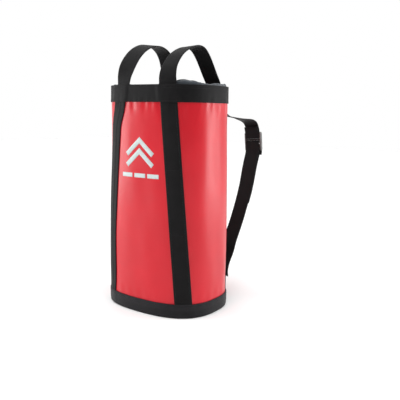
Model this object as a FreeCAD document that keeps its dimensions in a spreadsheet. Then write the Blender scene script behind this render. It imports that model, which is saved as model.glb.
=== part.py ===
"""Rope storage bag: an oval tarpaulin tube with webbing bands, two carrying handles and two
shoulder straps.  Millimetres, +Z up, origin at the middle of the base on the ground."""
import math
import os

import FreeCAD
import Part
import Sketcher

VECTOR = FreeCAD.Vector
UP = VECTOR(0, 0, 1)
SHORTEST_EDGE = 1e-6

doc = FreeCAD.newDocument("rope_bag")

# ---------------------------------------------------------------- driving dimensions
DIMENSIONS = {
    # the oval tube, measured outside at the base
    "half_width": 139.0,
    "half_depth": 107.5,
    "front_radius": 355.65,
    "side_radius": 396.7,
    "corner_radius": 86.64,
    "body_height": 512.0,
    "top_lean": 4.2,
    "wall": 1.5,
    "gap": 0.1,
    # base
    "panel_thickness": 1.5,
    "stiffener_thickness": 3.0,
    "stiffener_gap": 1.0,
    "base_band_height": 32.3,
    "rim_band_height": 37.5,
    "band_thickness": 3.0,
    "skin_thickness": 2.0,
    # body straps and carrying handles
    "webbing_width": 40.0,
    # the edges of a body strap seen from the front, for a strap set wide or set near the middle
    "top_inner_wide": 52.6,
    "top_outer_wide": 90.5,
    "base_inner_wide": 94.6,
    "base_outer_wide": 124.2,
    "top_inner_near": 43.0,
    "top_outer_near": 78.0,
    "base_inner_near": 84.0,
    "base_outer_near": 116.0,
    "strap_reach": 130.0,
    "handle_offset": 66.0,
    "handle_skew": 3.26,
    "strap_floor_gap": 2.0,
    "handle_thickness": 3.0,
    "handle_apex": 600.0,
    "handle_spring": 528.5,
    "handle_half_span": 96.6,
    "crown_drop": 36.0,
    "crown_half": 34.0,
    "shoulder_radius": 52.0,
    "crown_radius": 105.0,
    "foot_rise": 16.0,
    # collar
    "collar_inset": 8.0,
    "collar_thickness": 2.5,
    "collar_top": 517.0,
    "collar_bottom": 420.0,
    "collar_hem_height": 18.0,
    "collar_flange_height": 10.0,
    "eyelet_radius": 7.0,
    "eyelet_hole": 3.5,
    "eyelet_thickness": 1.2,
    "eyelet_spacing": 28.0,
    "seam_half_width": 12.0,
    "seam_bottom": 8.0,
    "seam_top": 472.0,
    "seam_thickness": 1.0,
    # shoulder straps
    "root_gap": 0.3,
    "shoulder_x": 74.6,
    "shoulder_z": 445.0,
    "shoulder_slant": 5.03,
    "shoulder_thickness": 2.0,
    "lock_y": 257.0,
    "lock_clearance": 3.4,
    "lock_rail": 3.0,
    "lock_side_gap": 0.5,
    "lock_rail_depth": 10.0,
    "lock_rail_top": 404.0,
    "lock_rail_bottom": 355.0,
    "lock_bar": 2.2,
    "lock_bar_upper": 391.0,
    "lock_bar_middle": 377.0,
    "lock_bar_lower": 362.0,
    "patch_bottom": 84.0,
    "patch_top": 112.0,
}

sheet = doc.addObject("Spreadsheet::Sheet", "dims")
for row, (alias, value) in enumerate(DIMENSIONS.items(), start=1):
    sheet.set(f"A{row}", alias.replace("_", " "))
    sheet.set(f"B{row}", str(value))
    sheet.setAlias(f"B{row}", alias)
doc.recompute()


def size(name):
    """The value of one cell of the sheet, as a plain number."""
    return float(getattr(sheet, name))


# ---------------------------------------------------------------- helpers
def new_body(label):
    """A PartDesign body whose label names the sub-part."""
    body = doc.addObject("PartDesign::Body", label)
    body.Label = label
    return body


def new_sketch(body, plane, name, offset=None):
    """A sketch on one of the body's own origin planes, moved along its normal by an expression."""
    sketch = body.newObject("Sketcher::SketchObject", name)
    for feature in body.Origin.OriginFeatures:
        if feature.Role == plane:
            sketch.AttachmentSupport = [(feature, "")]
    sketch.MapMode = "FlatFace"
    if offset is not None:
        sketch.setExpression(".AttachmentOffset.Base.z", offset)
    return sketch


def arc(centre, radius, start, end):
    """A counter-clockwise arc from angle start to angle end, in radians."""
    circle = Part.Circle(VECTOR(centre[0], centre[1], 0), UP, radius)
    return Part.ArcOfCircle(circle, start, end)


def oval_corner():
    """Centre of the first corner arc of the base oval, tangent to a front and a side arc."""
    front_centre = VECTOR(0, size("half_depth") - size("front_radius"), 0)
    side_centre = VECTOR(size("half_width") - size("side_radius"), 0, 0)
    to_front = size("front_radius") - size("corner_radius")
    to_side = size("side_radius") - size("corner_radius")
    across = side_centre - front_centre
    span = across.Length
    along = (to_front ** 2 - to_side ** 2 + span ** 2) / (2 * span)
    sideways = math.sqrt(to_front ** 2 - along ** 2)
    unit = across.normalize()
    return front_centre + unit * along + VECTOR(-unit.y, unit.x, 0) * -sideways, front_centre, side_centre


def oval_sketch(body, name, level, inset):
    """An oval of eight tangent arcs, inset from the base oval by an expression."""
    sketch = new_sketch(body, "XY_Plane", name, level)
    corner, front_centre, side_centre = oval_corner()
    if corner.x < 0 or corner.y < 0:
        raise ValueError("the corner arc lies in the wrong quadrant")
    steep = math.atan2(corner.y - front_centre.y, corner.x - front_centre.x)
    flat = math.atan2(corner.y - side_centre.y, corner.x - side_centre.x)
    front_reach = -front_centre.y
    side_reach = -side_centre.x
    turn = math.pi
    arcs = [
        ((-side_reach, 0), "side_radius", -flat, flat),
        ((corner.x, corner.y), "corner_radius", flat, steep),
        ((0, -front_reach), "front_radius", steep, turn - steep),
        ((-corner.x, corner.y), "corner_radius", turn - steep, turn - flat),
        ((side_reach, 0), "side_radius", turn - flat, turn + flat),
        ((-corner.x, -corner.y), "corner_radius", turn + flat, turn + steep),
        ((0, front_reach), "front_radius", turn + steep, 2 * turn - steep),
        ((corner.x, -corner.y), "corner_radius", 2 * turn - steep, 2 * turn - flat),
    ]
    for centre, radius, start, end in arcs:
        sketch.addGeometry(arc(centre, size(radius), start, end), False)
    for index in range(len(arcs)):
        following = (index + 1) % len(arcs)
        sketch.addConstraint(Sketcher.Constraint("Tangent", index, 2, following, 1))
    for index, (centre, radius, start, end) in enumerate(arcs):
        number = sketch.addConstraint(Sketcher.Constraint("Radius", index, size(radius)))
        sketch.setExpression(f"Constraints[{number}]", f"dims.{radius} - ({inset})")
    for index, kind, reach in (
        (0, "DistanceX", "dims.half_width - dims.side_radius"),
        (4, "DistanceX", "dims.side_radius - dims.half_width"),
        (2, "DistanceY", "dims.half_depth - dims.front_radius"),
        (6, "DistanceY", "dims.front_radius - dims.half_depth"),
    ):
        centre = arcs[index][0]
        value = centre[0] if kind == "DistanceX" else centre[1]
        number = sketch.addConstraint(Sketcher.Constraint(kind, -1, 1, index, 3, value))
        sketch.setExpression(f"Constraints[{number}]", reach)
        axis = -1 if kind == "DistanceX" else -2
        sketch.addConstraint(Sketcher.Constraint("PointOnObject", index, 3, axis))
    return sketch


def lean_at(level):
    """How far the wall has leaned in at a height, as an expression."""
    return f"dims.top_lean * ({level}) / dims.body_height"


def oval_solid(body, name, kind, bottom, top, inset):
    """A leaning oval solid between two heights, added to or taken from the body."""
    lower = oval_sketch(body, name + "_lower", bottom, f"{inset} + {lean_at(bottom)}")
    upper = oval_sketch(body, name + "_upper", top, f"{inset} + {lean_at(top)}")
    loft = body.newObject("PartDesign::" + kind, name)
    loft.Profile = lower
    loft.Sections = [upper]
    loft.Ruled = True
    return loft


def oval_ring(label, bottom, top, outer, inner):
    """A body with one open-ended leaning ring between two insets of the base oval."""
    body = new_body(label)
    oval_solid(body, label + "_outside", "AdditiveLoft", bottom, top, outer)
    oval_solid(body, label + "_inside", "SubtractiveLoft", bottom, top, inner)
    return body


def flat_oval(label, level, thickness, inset):
    """A flat oval board."""
    body = new_body(label)
    sketch = oval_sketch(body, label + "_outline", level, inset)
    pad = body.newObject("PartDesign::Pad", label + "_pad")
    pad.Profile = sketch
    pad.setExpression("Length", thickness)
    return body


def polygon_body(label, plane, corners, length, backwards=False):
    """A polygon padded into a prism; every corner is a pair of names of cells, each with a sign."""
    body = new_body(label)
    sketch = new_sketch(body, plane, label + "_outline")
    points = [VECTOR(signed(first), signed(second), 0) for first, second in corners]
    count = len(points)
    for index, point in enumerate(points):
        sketch.addGeometry(Part.LineSegment(point, points[(index + 1) % count]), False)
    for index in range(count):
        sketch.addConstraint(Sketcher.Constraint("Coincident", index, 2, (index + 1) % count, 1))
    for index, names in enumerate(corners):
        for kind, name in zip(("DistanceX", "DistanceY"), names):
            number = sketch.addConstraint(Sketcher.Constraint(kind, -1, 1, index, 1, signed(name)))
            sketch.setExpression(f"Constraints[{number}]", cell(name))
    pad = body.newObject("PartDesign::Pad", label + "_pad")
    pad.Profile = sketch
    pad.setExpression("Length", length)
    pad.Reversed = backwards
    return body


def signed(name):
    """The value of a cell whose name may start with a minus sign."""
    return -size(name[1:]) if name.startswith("-") else size(name)


def cell(name):
    """The expression for a cell whose name may start with a minus sign."""
    return "-dims." + name[1:] if name.startswith("-") else "dims." + name


def strip_edges(route, radii, side):
    """One long edge of a strip: straight runs joined by tangent arcs, side millimetres to the left."""
    edges = []
    start = route[0]
    for index in range(1, len(route)):
        corner = route[index]
        along = (corner - route[index - 1]).normalize()
        left = VECTOR(-along.y, along.x, 0)
        if index == len(route) - 1:
            edges.append(Part.LineSegment(start + left * side, corner + left * side))
            break
        onward = (route[index + 1] - corner).normalize()
        turn = math.atan2(along.x * onward.y - along.y * onward.x, along.dot(onward))
        cut_back = radii[index - 1] * math.tan(abs(turn) / 2)
        arc_start = corner - along * cut_back
        arc_end = corner + onward * cut_back
        bend = math.copysign(1, turn)
        centre = arc_start + left * (bend * radii[index - 1])
        from_centre = arc_start - centre
        widening = (radii[index - 1] - bend * side) / radii[index - 1]
        middle = centre + rotated(from_centre, turn / 2) * widening
        new_left = VECTOR(-onward.y, onward.x, 0)
        if (arc_start - start).Length > SHORTEST_EDGE:
            edges.append(Part.LineSegment(start + left * side, arc_start + left * side))
        edges.append(Part.Arc(arc_start + left * side, middle, arc_end + new_left * side))
        start = arc_end
    return edges


def rotated(vector, angle):
    """A vector in the sketch plane turned by an angle in radians."""
    cosine = math.cos(angle)
    sine = math.sin(angle)
    return VECTOR(vector.x * cosine - vector.y * sine, vector.x * sine + vector.y * cosine, 0)


def strip_body(label, route, radii, thickness):
    """A webbing strip: its side view on the YZ plane, padded to the webbing's width across X."""
    body = new_body(label)
    sketch = new_sketch(body, "YZ_Plane", label + "_side_view")
    points = [VECTOR(across, height, 0) for across, height in route]
    half = size(thickness) / 2
    sides = [strip_edges(points, radii, half), strip_edges(points, radii, -half)]
    for edge in sides[0] + sides[1]:
        sketch.addGeometry(edge, False)
    for first, second in ((sides[0][0].StartPoint, sides[1][0].StartPoint),
                          (sides[0][-1].EndPoint, sides[1][-1].EndPoint)):
        sketch.addGeometry(Part.LineSegment(first, second), False)
    for index in range(len(sketch.Geometry)):
        sketch.addConstraint(Sketcher.Constraint("Block", index))
    pad = body.newObject("PartDesign::Pad", label + "_pad")
    pad.Profile = sketch
    pad.Midplane = True
    pad.setExpression("Length", "dims.webbing_width")
    return body


def boolean(kind, label, base, tool):
    """A Part boolean of two objects of the document."""
    result = doc.addObject("Part::" + kind, label)
    result.Label = label
    result.Base = base
    result.Tool = tool
    return result


def fuse(label, shapes):
    """Several objects of the document in one."""
    result = doc.addObject("Part::MultiFuse", label)
    result.Label = label
    result.Shapes = shapes
    return result


# ---------------------------------------------------------------- tube and base
PARTS = []
band_inner = "-dims.gap"
skin_outer = "-dims.gap - dims.skin_thickness"
band_outer = "-dims.gap - dims.band_thickness"
rim_bottom = "dims.body_height - dims.rim_band_height"
inner_face = "dims.wall + dims.gap"
above_panel = "dims.panel_thickness + dims.gap"

PARTS.append(oval_ring("body_shell", above_panel, "dims.body_height", "0", "dims.wall"))
PARTS.append(flat_oval("base_panel", "0", "dims.panel_thickness", "0"))
PARTS.append(flat_oval("base_stiffener", above_panel, "dims.stiffener_thickness",
                       "dims.wall + dims.stiffener_gap"))
PARTS.append(oval_ring("rim_facing", rim_bottom, "dims.body_height",
                       inner_face, inner_face + " + dims.skin_thickness"))

seam_ring = oval_ring("seam_ring", "dims.seam_bottom", "dims.seam_top",
                      inner_face, inner_face + " + dims.seam_thickness")
seam_cutter = polygon_body("seam_cutter", "XZ_Plane",
                           [("-seam_half_width", "seam_bottom"), ("seam_half_width", "seam_bottom"),
                            ("seam_half_width", "seam_top"), ("-seam_half_width", "seam_top")],
                           "dims.strap_reach", True)
PARTS.append(boolean("Common", "back_seam_tape", seam_ring, seam_cutter))

# ---------------------------------------------------------------- four body straps under the bands
strap_skin = oval_ring("strap_skin", "dims.strap_floor_gap", "dims.body_height - dims.gap",
                       skin_outer, band_inner)

# how each strap is set at the rim and at the base
STRAP_SETTING = {
    ("front", "left"): ("near", "near"),
    ("front", "right"): ("wide", "wide"),
    ("rear", "left"): ("wide", "wide"),
    ("rear", "right"): ("near", "wide"),
}


def strap_outline(end, side):
    """The strap's edges seen from the front: closer together at the rim and spread at the base."""
    sign = "-" if side == "left" else ""
    top, base = STRAP_SETTING[end, side]
    return [(f"{sign}base_inner_{base}", "strap_floor_gap"), (f"{sign}base_outer_{base}", "strap_floor_gap"),
            (f"{sign}top_outer_{top}", "body_height"), (f"{sign}top_inner_{top}", "body_height")]


def foot_outline(end, side):
    """The upright edges of a handle's foot, in line with the top of the strap below it."""
    sign = "-" if side == "left" else ""
    top = STRAP_SETTING[end, side][0]
    return [(f"{sign}top_inner_{top}", "body_height"), (f"{sign}top_outer_{top}", "body_height"),
            (f"{sign}top_outer_{top}", "handle_apex"), (f"{sign}top_inner_{top}", "handle_apex")]


body_straps = []
strap_cutters = {}
for end, backwards in (("front", False), ("rear", True)):
    for side in ("left", "right"):
        cutter = polygon_body(f"{end}_{side}_cutter", "XZ_Plane", strap_outline(end, side),
                              "dims.strap_reach", backwards)
        strap_cutters[end, side] = cutter
        body_straps.append(boolean("Common", f"{end}_{side}_strap", strap_skin, cutter))
PARTS.extend(body_straps)
strap_set = fuse("strap_set", body_straps)
base_ring = oval_ring("base_ring", "0", "dims.base_band_height", band_outer, band_inner)
rim_ring = oval_ring("rim_ring", rim_bottom, "dims.body_height", band_outer, band_inner)
PARTS.append(boolean("Cut", "base_band", base_ring, strap_set))
PARTS.append(boolean("Cut", "rim_band", rim_ring, strap_set))

# ---------------------------------------------------------------- collar tucked inside the rim
collar = oval_ring("collar", "dims.collar_bottom", "dims.collar_top",
                   "dims.collar_inset", "dims.collar_inset + dims.collar_thickness")
flange_top = "dims.body_height - dims.collar_flange_height"
flange_bottom = flange_top + " - dims.collar_flange_height"
oval_solid(collar, "collar_flange", "AdditiveLoft", flange_bottom, flange_top,
           inner_face + " + dims.skin_thickness + dims.gap")
oval_solid(collar, "collar_mouth", "SubtractiveLoft", "dims.collar_bottom", "dims.collar_top",
           "dims.collar_inset + dims.collar_thickness")
PARTS.append(collar)

eyelets = []
for side in (-1, 1):
    disc = doc.addObject("Part::Cylinder", "eyelet_disc")
    disc.setExpression("Radius", "dims.eyelet_radius")
    hole = doc.addObject("Part::Cylinder", "eyelet_hole")
    hole.setExpression("Radius", "dims.eyelet_hole")
    for tube in (disc, hole):
        tube.setExpression("Height", "dims.eyelet_thickness")
        tube.setExpression("Placement.Base.x", f"{side} * dims.eyelet_spacing / 2")
        tube.setExpression("Placement.Base.y", "dims.collar_inset + dims.collar_thickness + dims.top_lean"
                           " + dims.eyelet_thickness - dims.half_depth")
        tube.setExpression("Placement.Base.z", "dims.collar_bottom + dims.collar_hem_height / 2")
        tube.Placement.Rotation = FreeCAD.Rotation(VECTOR(1, 0, 0), 90)
    eyelets.append(boolean("Cut", "eyelet_ring", disc, hole))
PARTS.append(fuse("collar_eyelets", eyelets))

# ---------------------------------------------------------------- carrying handles
foot_ring = oval_ring("foot_ring", "dims.body_height", "dims.body_height + dims.foot_rise",
                      "-dims.gap - dims.handle_thickness", band_inner)


def handle_route():
    """The arch over the opening, front to back: upright ends and a three-centred crown."""
    span = size("handle_half_span")
    crown = size("handle_apex") - size("handle_thickness") / 2
    shoulder = crown - size("crown_drop")
    half = size("crown_half")
    return [(-span, size("handle_spring")), (-span, shoulder), (-half, crown),
            (half, crown), (span, shoulder), (span, size("handle_spring"))]


handle_radii = [size("shoulder_radius"), size("crown_radius"), size("crown_radius"), size("shoulder_radius")]
for side, sign in (("left", -1), ("right", 1)):
    handle = strip_body(f"handle_{side}", handle_route(), handle_radii, "handle_thickness")
    handle.Placement = FreeCAD.Placement(VECTOR(sign * size("handle_offset"), 0, 0),
                                         FreeCAD.Rotation(UP, size("handle_skew")))
    PARTS.append(handle)
    feet = []
    for end, backwards in (("front", False), ("rear", True)):
        cutter = polygon_body(f"{end}_{side}_foot_cutter", "XZ_Plane", foot_outline(end, side),
                              "dims.strap_reach", backwards)
        feet.append(boolean("Common", f"{end}_{side}_foot", foot_ring, cutter))
    PARTS.append(fuse(f"handle_{side}_feet", feet))

# ---------------------------------------------------------------- shoulder straps with ladder locks
outer_y = size("lock_y") + size("lock_clearance")
inner_y = size("lock_y") - size("lock_clearance")
upper_turn = size("lock_bar_upper") - size("lock_clearance")
middle_turn = size("lock_bar_middle") + size("lock_clearance")
# just under half the webbing's way round a bar, so that the turn stays two arcs
TURN_RADIUS = 3.35
# side views of the webbing as (y, z) corners, with the radius at each corner between the ends
UPPER_ROOT = [(80.0, 475.0), (131.0, 450.1)]
UPPER_ROUTE = [(131.4, 449.8), (152.0, 440.0), (200.0, 436.0), (252.0, 430.5), (outer_y, 405.0),
               (outer_y, upper_turn), (inner_y, upper_turn), (inner_y, 402.0), (250.0, 417.5)]
UPPER_RADII = [40.0, 160.0, 18.0, 14.0, TURN_RADIUS, TURN_RADIUS, 20.0]
LOWER_ROUTE = [(116.4, 140.6), (160.0, 193.0), (205.0, 258.0), (238.0, 322.0), (inner_y, 352.0),
               (inner_y, middle_turn), (outer_y, middle_turn), (outer_y, 374.6)]
LOWER_RADII = [260.0, 260.0, 200.0, 45.0, TURN_RADIUS, TURN_RADIUS]
LOWER_ROOT = [(116.1, 140.2), (70.0, 84.8)]
TAIL_ROUTE = [(outer_y, 372.6), (outer_y, 353.0), (242.0, 318.5), (208.6, 255.0), (188.0, 226.0)]
TAIL_RADII = [45.0, 200.0, 200.0]

root_face = "-dims.root_gap - dims.skin_thickness"
wall_envelope = new_body("wall_envelope")
oval_solid(wall_envelope, "wall_envelope_solid", "AdditiveLoft", "dims.strap_floor_gap",
           "dims.body_height", root_face)
patch_ring = oval_ring("patch_ring", "dims.patch_bottom", "dims.patch_top",
                       root_face + " - dims.skin_thickness", root_face)


def shoulder_placement(sign):
    """The strap's own plane: upright, beside the middle and slanted out towards the base."""
    slant = FreeCAD.Rotation(VECTOR(0, 1, 0), -sign * size("shoulder_slant"))
    return FreeCAD.Placement(VECTOR(sign * size("shoulder_x"), 0, 0), slant,
                             VECTOR(0, 0, size("shoulder_z")))


def ladder_lock(label):
    """Two side rails with rounded ends, joined by three bars that the webbing is threaded over."""
    pieces = []
    half_width = "dims.webbing_width / 2 + dims.lock_side_gap"
    for direction in (-1, 1):
        rail = doc.addObject("Part::Box", label + "_rail")
        rail.setExpression("Length", "dims.lock_rail")
        rail.setExpression("Width", "dims.lock_rail_depth")
        rail.setExpression("Height", "dims.lock_rail_top - dims.lock_rail_bottom")
        inside = half_width if direction == 1 else f"-({half_width}) - dims.lock_rail"
        rail.setExpression("Placement.Base.x", inside)
        rail.setExpression("Placement.Base.y", "dims.lock_y - dims.lock_rail_depth / 2")
        rail.setExpression("Placement.Base.z", "dims.lock_rail_bottom")
        pieces.append(rail)
    for level in ("upper", "middle", "lower"):
        bar = doc.addObject("Part::Cylinder", f"{label}_{level}_bar")
        bar.setExpression("Radius", "dims.lock_bar")
        bar.setExpression("Height", f"2 * ({half_width} + dims.lock_rail / 2)")
        bar.setExpression("Placement.Base.x", f"-({half_width} + dims.lock_rail / 2)")
        bar.setExpression("Placement.Base.y", "dims.lock_y")
        bar.setExpression("Placement.Base.z", f"dims.lock_bar_{level}")
        bar.Placement.Rotation = FreeCAD.Rotation(VECTOR(0, 1, 0), 90)
        pieces.append(bar)
    return fuse(label, pieces)


for side, sign in (("left", -1), ("right", 1)):
    place = shoulder_placement(sign)
    upper = strip_body(f"upper_strap_{side}", UPPER_ROUTE, UPPER_RADII, "shoulder_thickness")
    lower = strip_body(f"lower_strap_{side}", LOWER_ROUTE, LOWER_RADII, "shoulder_thickness")
    tail = strip_body(f"strap_tail_{side}", TAIL_ROUTE, TAIL_RADII, "shoulder_thickness")
    lock = ladder_lock(f"ladder_lock_{side}")
    upper_root = strip_body(f"upper_root_{side}", UPPER_ROOT, [], "shoulder_thickness")
    lower_root = strip_body(f"lower_root_{side}", LOWER_ROOT, [], "shoulder_thickness")
    for piece in (upper, lower, tail, lock, upper_root, lower_root):
        piece.Placement = place
    roots = [boolean("Cut", f"upper_root_cut_{side}", upper_root, wall_envelope),
             boolean("Cut", f"lower_root_cut_{side}", lower_root, wall_envelope),
             boolean("Common", f"patch_{side}", patch_ring, strap_cutters["rear", side])]
    PARTS.extend([upper, lower, tail, lock, fuse(f"strap_roots_{side}", roots)])

# ---------------------------------------------------------------- checks and export
doc.recompute()
failed = [item.Label for item in doc.Objects if {"Invalid", "Error"} & set(item.State)]
for part in PARTS:
    if part.Shape.isNull() or not part.Shape.isValid() or not part.Shape.Solids:
        failed.append(part.Label)
if failed:
    raise RuntimeError("these objects failed: " + ", ".join(sorted(set(failed))))

os.makedirs("parts", exist_ok=True)
for part in PARTS:
    part.Shape.exportStep(os.path.join("parts", part.Label + ".step"))
    box = part.Shape.BoundBox
    print(f"{part.Label:22s} solids {len(part.Shape.Solids)} volume {part.Shape.Volume:10.0f}"
          f"  x {box.XMin:7.1f} {box.XMax:7.1f}  y {box.YMin:7.1f} {box.YMax:7.1f}"
          f"  z {box.ZMin:6.1f} {box.ZMax:6.1f}")
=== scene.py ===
"""Rope storage bag: the visible model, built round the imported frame.  Metres, +Z up."""
import math

import bpy
import numpy as np
from mathutils import Matrix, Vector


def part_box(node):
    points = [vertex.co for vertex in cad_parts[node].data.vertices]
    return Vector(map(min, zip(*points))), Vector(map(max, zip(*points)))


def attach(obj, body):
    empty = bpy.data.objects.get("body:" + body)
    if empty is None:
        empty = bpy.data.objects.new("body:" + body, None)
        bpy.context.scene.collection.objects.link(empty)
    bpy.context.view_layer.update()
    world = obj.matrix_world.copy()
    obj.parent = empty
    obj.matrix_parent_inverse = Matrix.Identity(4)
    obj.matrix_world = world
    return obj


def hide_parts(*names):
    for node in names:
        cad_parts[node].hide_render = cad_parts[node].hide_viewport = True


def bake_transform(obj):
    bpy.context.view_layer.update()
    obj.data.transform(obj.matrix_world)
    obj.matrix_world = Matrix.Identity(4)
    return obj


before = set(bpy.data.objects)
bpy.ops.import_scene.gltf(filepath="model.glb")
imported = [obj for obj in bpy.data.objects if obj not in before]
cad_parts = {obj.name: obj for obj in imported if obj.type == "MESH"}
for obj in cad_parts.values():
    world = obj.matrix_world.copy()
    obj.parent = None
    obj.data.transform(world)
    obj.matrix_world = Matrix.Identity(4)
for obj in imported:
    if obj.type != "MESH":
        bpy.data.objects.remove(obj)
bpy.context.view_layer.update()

# ------------------------------------------------------------------ driving dimensions
SHELL_LOW, SHELL_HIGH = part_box("body_shell")
HALF_WIDTH = SHELL_HIGH[0]
HALF_DEPTH = SHELL_HIGH[1]
RIM = SHELL_HIGH[2]
FLOOR = SHELL_LOW[2]
LEAN = 0.0042
ROUNDNESS = 2.64
WEBBING = 0.040
RIM_BAND_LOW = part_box("rim_band")[0][2]
BASE_BAND_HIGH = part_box("base_band")[1][2]
STRAP_THICK = 0.0018
HANDLE_THICK = 0.0026
BAND_THICK = 0.0018
BASE_THICK = 0.0023
SHELL_THICK = 0.0010
CLEAR = 0.0002

# edges of a body strap seen from the front: at the rim (inner, outer), then at the base
STRAP_EDGES = {
    "wide": ((0.0526, 0.0905), (0.0946, 0.1242)),
    "near": ((0.0430, 0.0780), (0.0840, 0.1160)),
}
STRAP_SETTING = {
    ("front", "left"): ("near", "near"),
    ("front", "right"): ("wide", "wide"),
    ("rear", "left"): ("wide", "wide"),
    ("rear", "right"): ("near", "wide"),
}
SIDES = (("left", -1), ("right", 1))


# ------------------------------------------------------------------ the oval wall
def base_outline(count=4001):
    """Points and outward normals of the base oval, from the front middle towards +X, by arc length."""
    angle = np.linspace(-math.pi / 2, 1.5 * math.pi, count)
    cosine, sine = np.cos(angle), np.sin(angle)
    power = 2 / ROUNDNESS
    x = HALF_WIDTH * np.sign(cosine) * np.abs(cosine) ** power
    y = HALF_DEPTH * np.sign(sine) * np.abs(sine) ** power
    steep = ROUNDNESS - 1
    nx = np.sign(x) * np.abs(x / HALF_WIDTH) ** steep / HALF_WIDTH
    ny = np.sign(y) * np.abs(y / HALF_DEPTH) ** steep / HALF_DEPTH
    size = np.hypot(nx, ny)
    along = np.concatenate([[0], np.cumsum(np.hypot(np.diff(x), np.diff(y)))])
    return along, x, y, nx / size, ny / size


ALONG, OUT_X, OUT_Y, OUT_NX, OUT_NY = base_outline()
ROUND = ALONG[-1]


def ripples(waves, along_min, along_max, up_min, up_max, seed):
    """Random smooth waves that close on themselves round the bag."""
    random = np.random.default_rng(seed)
    turns = random.integers(along_min, along_max + 1, waves)
    rises = random.uniform(up_min, up_max, waves) * 2 * math.pi
    phases = random.uniform(0, 2 * math.pi, (2, waves))
    sizes = random.uniform(0.5, 1.0, waves)
    sizes /= np.sqrt((sizes ** 2).sum() / 2)

    def height(s, z):
        angle = 2 * math.pi * np.asarray(s)[..., None] / ROUND
        rise = np.asarray(z)[..., None] * rises
        return (sizes * np.sin(angle * turns + phases[0]) * np.cos(rise + phases[1])).sum(-1)

    return height


def smooth(value, low, high):
    """0 below low, 1 above high and smooth between."""
    t = np.clip((np.asarray(value) - low) / (high - low), 0, 1)
    return t * t * (3 - 2 * t)


# the tube was folded flat across at these heights, which left faint creases
CREASE_HEIGHTS = (0.330, 0.188)
broad_dents = ripples(7, 2, 7, 0.6, 2.6, 11)
soft_folds = ripples(12, 7, 17, 1.5, 6.0, 14)
crease_wander = ripples(6, 2, 9, 0.0, 0.4, 15)
rim_puckers = ripples(9, 16, 46, 1.0, 5.0, 12)
base_puckers = ripples(9, 12, 34, 1.0, 5.0, 13)


def relief(s, z):
    """How far the soft wall stands out of the true oval."""
    free = smooth(z, BASE_BAND_HIGH - 0.01, 0.10) * (1 - smooth(z, RIM - 0.12, RIM_BAND_LOW + 0.005))
    under_rim = np.exp(-((np.asarray(z) - RIM_BAND_LOW + 0.006) / 0.016) ** 2)
    over_base = np.exp(-((np.asarray(z) - BASE_BAND_HIGH - 0.008) / 0.014) ** 2)
    creases = 0
    for height in CREASE_HEIGHTS:
        away = np.asarray(z) - height - 0.0012 * crease_wander(s, 0 * np.asarray(z))
        fading = 0.6 + 0.4 * crease_wander(s, 0.3 + 0 * np.asarray(z))
        creases = creases + np.exp(-(away / 0.0016) ** 2) * fading
    return (0.0011 * free * broad_dents(s, z) + 0.00022 * free * soft_folds(s, z) - 0.00016 * creases
            + 0.00050 * under_rim * rim_puckers(s, z) + 0.00028 * over_base * base_puckers(s, z))


def wall(s, z, out=0.0, soft=True):
    """A point out metres outside the leaning wall, at arc length s and height z."""
    s, z, out = np.broadcast_arrays(np.asarray(s, float), np.asarray(z, float), np.asarray(out, float))
    turn = np.mod(s, ROUND)
    x, y = np.interp(turn, ALONG, OUT_X), np.interp(turn, ALONG, OUT_Y)
    nx, ny = np.interp(turn, ALONG, OUT_NX), np.interp(turn, ALONG, OUT_NY)
    shift = out - LEAN * z / RIM
    if soft:
        shift = shift + relief(s, z)
    return np.stack([x + nx * shift, y + ny * shift, z], -1)


def wall_normal(s):
    turn = np.mod(np.asarray(s, float), ROUND)
    normal = np.stack([np.interp(turn, ALONG, OUT_NX), np.interp(turn, ALONG, OUT_NY), 0 * turn], -1)
    return normal / np.linalg.norm(normal, axis=-1, keepdims=True)


def front_arc(x, z):
    """The arc length at which the front wall has this x."""
    s = np.linspace(-ROUND / 4, ROUND / 4, 1201)
    return float(np.interp(x, wall(s, z, soft=False)[:, 0], s))


def wall_arc(end, x, z):
    """The arc length of the front or rear wall at this x."""
    s = front_arc(x, z)
    return s if end == "front" else ROUND / 2 - s


def strap_arcs(end, side):
    """Arc lengths of a body strap's middle, at the floor and at the rim."""
    sign = -1 if side == "left" else 1
    top, base = STRAP_SETTING[end, side]
    at_rim = [wall_arc(end, sign * x, RIM) for x in STRAP_EDGES[top][0]]
    at_base = [wall_arc(end, sign * x, 0.0) for x in STRAP_EDGES[base][1]]
    return sum(at_base) / 2, sum(at_rim) / 2


STRAP_ARCS = {key: strap_arcs(*key) for key in STRAP_SETTING}
STRAP_ARCS["front", "right"] = tuple(arc - 0.0022 for arc in STRAP_ARCS["front", "right"])


def strap_middle(key, z):
    """The arc length of a strap's middle line; the front left one leans over to meet its handle."""
    low, high = STRAP_ARCS[key]
    lean = 0
    if key == ("front", "left"):
        lean = 0.011 * smooth(z, 0.415, RIM_BAND_LOW) - 0.009 * smooth(z, 0.03, 0.20)
    return low + (high - low) * np.asarray(z) / RIM + lean


def over_straps(s, z, margin=0.012):
    """1 where a body strap runs under this point of the wall, 0 away from the straps."""
    cover = np.zeros(np.broadcast(s, z).shape)
    for key in STRAP_ARCS:
        away = np.mod(np.asarray(s) - strap_middle(key, z) + ROUND / 2, ROUND) - ROUND / 2
        cover = np.maximum(cover, 1 - smooth(np.abs(away), WEBBING / 2, WEBBING / 2 + margin))
    return cover


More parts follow.
